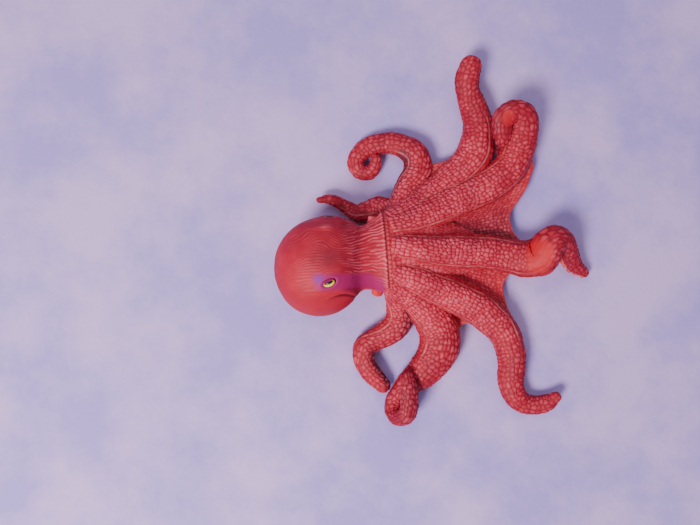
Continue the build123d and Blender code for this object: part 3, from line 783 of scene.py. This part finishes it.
def make_head():
    """The wrinkled head, with its eye sockets, purple band and folds."""
    grid, path, turn = section_rings(HEAD_ROWS, FINE * 0.9, 400)
    normals = outward_normals(grid, path[:, None, :3])
    x, y, z = grid[..., 0], grid[..., 1], grid[..., 2]
    above = smoothstep(-3.0, 4.0, z - path[:, 2:3])
    behind = -past_seam(grid)
    lip = bump(behind, 0.95, 0.55)
    groove = bump(behind, 0.0, 0.4)
    turned = np.where(turn > math.pi, turn - 2 * math.pi, turn)
    back_from_seam = np.clip(behind / 26.0, 0.0, 1.0)
    spread = 1.0 - 0.5 * back_from_seam
    arc = (turned - 0.22 * back_from_seam) * path[:, 3:4] / spread
    warp = lattice_noise(grid / 6.0, 21) * 2.6 + lattice_noise(grid / 2.4, 22) * 1.3
    strands = 0.5 + 0.5 * np.sin(arc * 2 * math.pi / 1.9 + warp * 1.6)
    breaks = smoothstep(-0.45, 0.25, lattice_noise(np.dstack([x / 3.4, arc / 1.2, 0 * x]), 23))
    neck = smoothstep(24.0, 12.0, behind) * (0.35 + 0.65 * above)
    swirl = turned * 20 + lattice_noise(grid / 14.0, 24) * 5.0 + lattice_noise(grid / 5.0, 25) * 1.2
    fine = 0.5 + 0.5 * np.sin(swirl * 2 * math.pi / 1.3 + warp * 1.3)
    fine = fine * (0.45 + 0.55 * smoothstep(-0.5, 0.2, lattice_noise(grid / 2.2, 26)))
    smooth_side = smoothstep(-17.0, -26.0, y) * smoothstep(-38.0, -46.0, x)
    band_middle = -18.2 - 3.2 * smoothstep(-33.0, -25.0, x)
    band = np.exp(-(((y - band_middle) / 3.7) ** 6)) * smoothstep(-58.0, -54.0, x) * above
    band = band * (1 - smoothstep(-3.0, -1.5, -behind))
    wrinkle = 0.45 * strands * neck * (0.2 + 0.8 * breaks)
    wrinkle = wrinkle + 0.16 * fine * (1 - neck) * (1 - 0.75 * smooth_side)
    wrinkle = wrinkle * (1 - 0.7 * band)
    crease = bump(y + 24.2 + 0.09 * (x + 43.5) ** 2 * 0.5, 0.0, 0.55) * bump(x, -43.8, 4.5) * above
    fold = bump(y + 22.6 + 0.05 * (x + 43.5) ** 2, 0.0, 1.3) * bump(x, -43.5, 5.0) * above
    brow = bump(y - 6.2 - 0.08 * (x + 50.0), 0.0, 1.3) * bump(x, -52.0, 4.5) * above
    far_crease = bump(y - 6.9 + 0.05 * (x + 41.0), 0.0, 0.6) * bump(x, -41.5, 4.5) * above
    lift = wrinkle + 0.3 * lip - 0.4 * groove + 0.8 * fold - 0.8 * crease + 0.7 * brow - 0.6 * far_crease
    nub = np.exp(-np.sum((grid - np.array([-31.6, 10.6, 22.8])) ** 2, axis=-1) / 1.8**2)
    lift = lift + 3.2 * nub
    lids = np.zeros(x.shape)
    for name in EYES:
        long, wide, deep = eye_offsets(grid, name)
        ring = np.hypot(long, wide)
        near = np.abs(deep) < 6.0
        lids = lids + bump(ring, 1.25, 0.3) * near
        socket = 0.3 * bump(ring, 1.3, 0.3) + 0.7 * bump(ring, 0.0, 2.8) - 1.6 * bump(ring, 0.0, 0.8)
        lift = lift + socket * near
    grid = grid + normals * (lift - 0.25)[..., None]
    # The groove and the crease take `high` down, which paints shade into them; the brow's share of it paints
    # a highlight.
    high = np.clip(0.34 + 0.1 * neck + wrinkle * 1.8 - 0.5 * groove - 0.4 * crease + 0.3 * brow, 0, 1)
    violet = bump(np.hypot((x + 54.9) / 1.2, (y + 17.0)), 0.0, 2.0) * above * 0.65
    # A darker patch on top of the head, where the neck wrinkles meet.
    dark_patch = bump(np.hypot((x + 49.5) / 1.4, (y + 7.5)), 0.0, 6.0) * above
    # Painted shade in the creases and the seam groove.
    dark = np.clip(0.6 * dark_patch + 0.7 * crease + 0.6 * far_crease + 0.2 * groove, 0, 1)
    purple = np.clip(0.85 * band + 0.8 * lids, 0, 1)
    # The pale paint on the nub is a painted highlight.
    ridge = lip * (0.1 + 0.4 * strands) + 0.6 * nub
    orange = np.clip(smooth_side * 0.25, 0, 1)
    layers = skin_layers(
        high.shape, high=high, ridge=ridge, purple=purple, violet=violet, dark=dark, orange=orange,
    )
    return tube_object("head_skin", grid, layers, SKIN)


def make_eye(name, material):
    """An almond bead with a slit pupil above a yellow crescent."""
    place, looks, slit_turn = EYES[name]
    axes = frame_of(looks, (math.cos(slit_turn), math.sin(slit_turn), 0.0))
    rings, around = 40, 64
    lean = np.linspace(0.02, math.pi - 0.02, rings)[:, None]
    spin = np.linspace(0, 2 * math.pi, around, endpoint=False)[None, :]
    long, wide, deep = np.sin(lean) * np.cos(spin), np.sin(lean) * np.sin(spin), np.cos(lean) + 0 * spin
    grid = (
        np.array(place) - axes[2] * 0.6
        + long[..., None] * axes[0] * EYE_LENGTH
        + wide[..., None] * axes[1] * EYE_WIDTH
        + deep[..., None] * axes[2] * EYE_DEPTH
    )
    slit = 0.33 * np.sqrt(np.clip(1 - (long / 0.7) ** 2, 0, 1))
    pupil = 1 - smoothstep(0.0, 0.05, np.abs(wide - 0.2) - slit)
    scallop = 0.8 + 0.06 * np.sin(spin * 15)
    rim = smoothstep(-0.03, 0.04, np.hypot(long, wide) - scallop)
    upper = smoothstep(0.4, 0.5, wide + 0.12 * long**2)
    layers = {"pupil": np.clip(np.maximum(pupil, rim), 0, 1), "lid": upper}
    return tube_object(f"{name}_bead", grid, layers, material)


def turned_piece(name, profile, origin, direction, ripples, material):
    """A round piece from (radius, height, shade) points about an axis, with ripples round its rim."""
    axes = frame_of(direction, (0.3, 0.9, 0.1))
    profile = np.array(profile, float)
    spin = np.linspace(0, 2 * math.pi, 96, endpoint=False)[None, :]
    count, depth = ripples
    radius = profile[:, 0:1] * (1 + depth * np.sin(spin * count))
    grid = (
        np.array(origin, float)
        + (radius * np.cos(spin))[..., None] * axes[0]
        + (radius * np.sin(spin))[..., None] * axes[1]
        + (profile[:, 1:2] + 0 * spin)[..., None] * axes[2]
    )
    shade = profile[:, 2:3] - 0.25 * (0.5 + 0.5 * np.sin(spin * count)) * (depth > 0)
    return tube_object(name, grid, {"high": np.clip(shade, 0, 1)}, material)


def make_siphon():
    """The short funnel under the right side of the neck."""
    profile = [
        (3.0, -3.0, 0.6), (3.3, -1.0, 0.7), (3.2, 0.6, 0.8), (2.8, 2.2, 0.9), (2.7, 3.6, 1.0),
        (2.75, 4.4, 1.0), (2.4, 4.8, 1.0), (1.8, 4.6, 0.8), (1.4, 3.8, 0.3), (1.1, 2.6, 0.0), (0.4, 2.4, 0.0),
    ]
    return turned_piece("siphon_funnel", profile, SIPHON_ROOT, SIPHON_ALONG, (7, 0.03), siphon_material())


def make_mouth():
    """The flat face round the mouth, with radial folds that run up into the crown and a beak inside."""
    profile = [
        (8.0, 8.0, 0.4), (13.5, 7.0, 0.4), (14.6, 5.0, 0.5), (14.4, 2.6, 0.6), (14.0, 0.8, 0.8),
        (13.3, 0.0, 0.9),
        (9.0, 0.0, 0.9), (6.4, 0.0, 0.9), (5.2, 0.35, 0.7), (4.4, 0.9, 0.4), (3.4, 1.0, 0.2), (3.0, 1.5, 0.0),
    ]
    return turned_piece("mouth_sole", profile, (*MOUTH_CENTRE, 0.0), (0, 0, 1), (16, 0.035), sole_material())


# ---------------------------------------------------------------------------
# Build
# ---------------------------------------------------------------------------
def on_crown(piece, slot, *nodes):
    """The piece rides the crown and stands for these nodes."""
    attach(piece, "crown")
    if nodes:
        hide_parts(*nodes)


for number, arm_name in enumerate(ARMS):
    arm_skin = make_arm(arm_name, 11 + number * 7)
    bend_with_joint(arm_skin)
    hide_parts(arm_name)
    suckers = make_suckers(arm_name)
    bend_with_joint(suckers)

for number, web_name in enumerate(WEBS):
    on_crown(make_web(web_name, 90 + number), "skin")
on_crown(make_hub(), "skin", "arm_crown")
on_crown(make_head(), "skin", "mantle_shell")
on_crown(make_siphon(), "skin", "siphon")
on_crown(make_mouth(), "underside", "mouth_plate")
eye_paint = eye_material()
for eye_name in EYES:
    on_crown(make_eye(eye_name, eye_paint), "eye", eye_name)

plug = frame["nodes"]["neck_plug"]
plug.data.materials.clear()
plug.data.materials.append(plug_material())


# ---------------------------------------------------------------------------
# Stage, light and camera
# ---------------------------------------------------------------------------
def make_floor():
    """A pale lavender floor with a mottled wash."""
    mesh = bpy.data.meshes.new("floor")
    mesh.from_pydata([(-1, -1, 0), (1, -1, 0), (1, 1, 0), (-1, 1, 0)], [], [(0, 1, 2, 3)])
    floor = bpy.data.objects.new("floor", mesh)
    bpy.context.scene.collection.objects.link(floor)
    ground = Nodes("pale_floor")
    wash = ground.noise(14.0, 6.0, 0.65)
    paint = ground.mix(ground.span(wash, 0.4, 0.6), colour(158, 136, 206), colour(192, 160, 214))
    ground.feed("Base Color", paint)
    ground.bumped(ground.noise(420.0, 4.0, 0.6), 0.0004, 0.5)
    ground.feed("Roughness", 0.8)
    mesh.materials.append(ground.material)


def area_light(name, place, size, energy, tint):
    """A round soft light that faces the middle of the figure."""
    data = bpy.data.lights.new(name, "AREA")
    data.shape = "DISK"
    data.size = size
    data.energy = energy
    data.color = tint
    light = bpy.data.objects.new(name, data)
    light.location = place
    light.rotation_euler = (-light.location).to_track_quat("-Z", "Y").to_euler()
    bpy.context.scene.collection.objects.link(light)


make_floor()
area_light("key", (-0.33, -0.34, 0.6), 0.26, 8.3, (1.0, 0.97, 0.97))
area_light("fill", (-0.2, 0.45, 0.8), 0.8, 2.6, (0.94, 0.93, 1.0))

world = bpy.data.worlds.new("studio")
world.use_nodes = True
world.node_tree.nodes["Background"].inputs["Color"].default_value = (0.84, 0.86, 1.0, 1.0)
world.node_tree.nodes["Background"].inputs["Strength"].default_value = 0.46
bpy.context.scene.world = world

camera_data = bpy.data.cameras.new("camera")
camera_data.sensor_width = 36.0
camera_data.lens = 33.94
camera = bpy.data.objects.new("camera", camera_data)
camera.location = (-0.04125, -0.00975, 0.330)
bpy.context.scene.collection.objects.link(camera)
bpy.context.scene.camera = camera
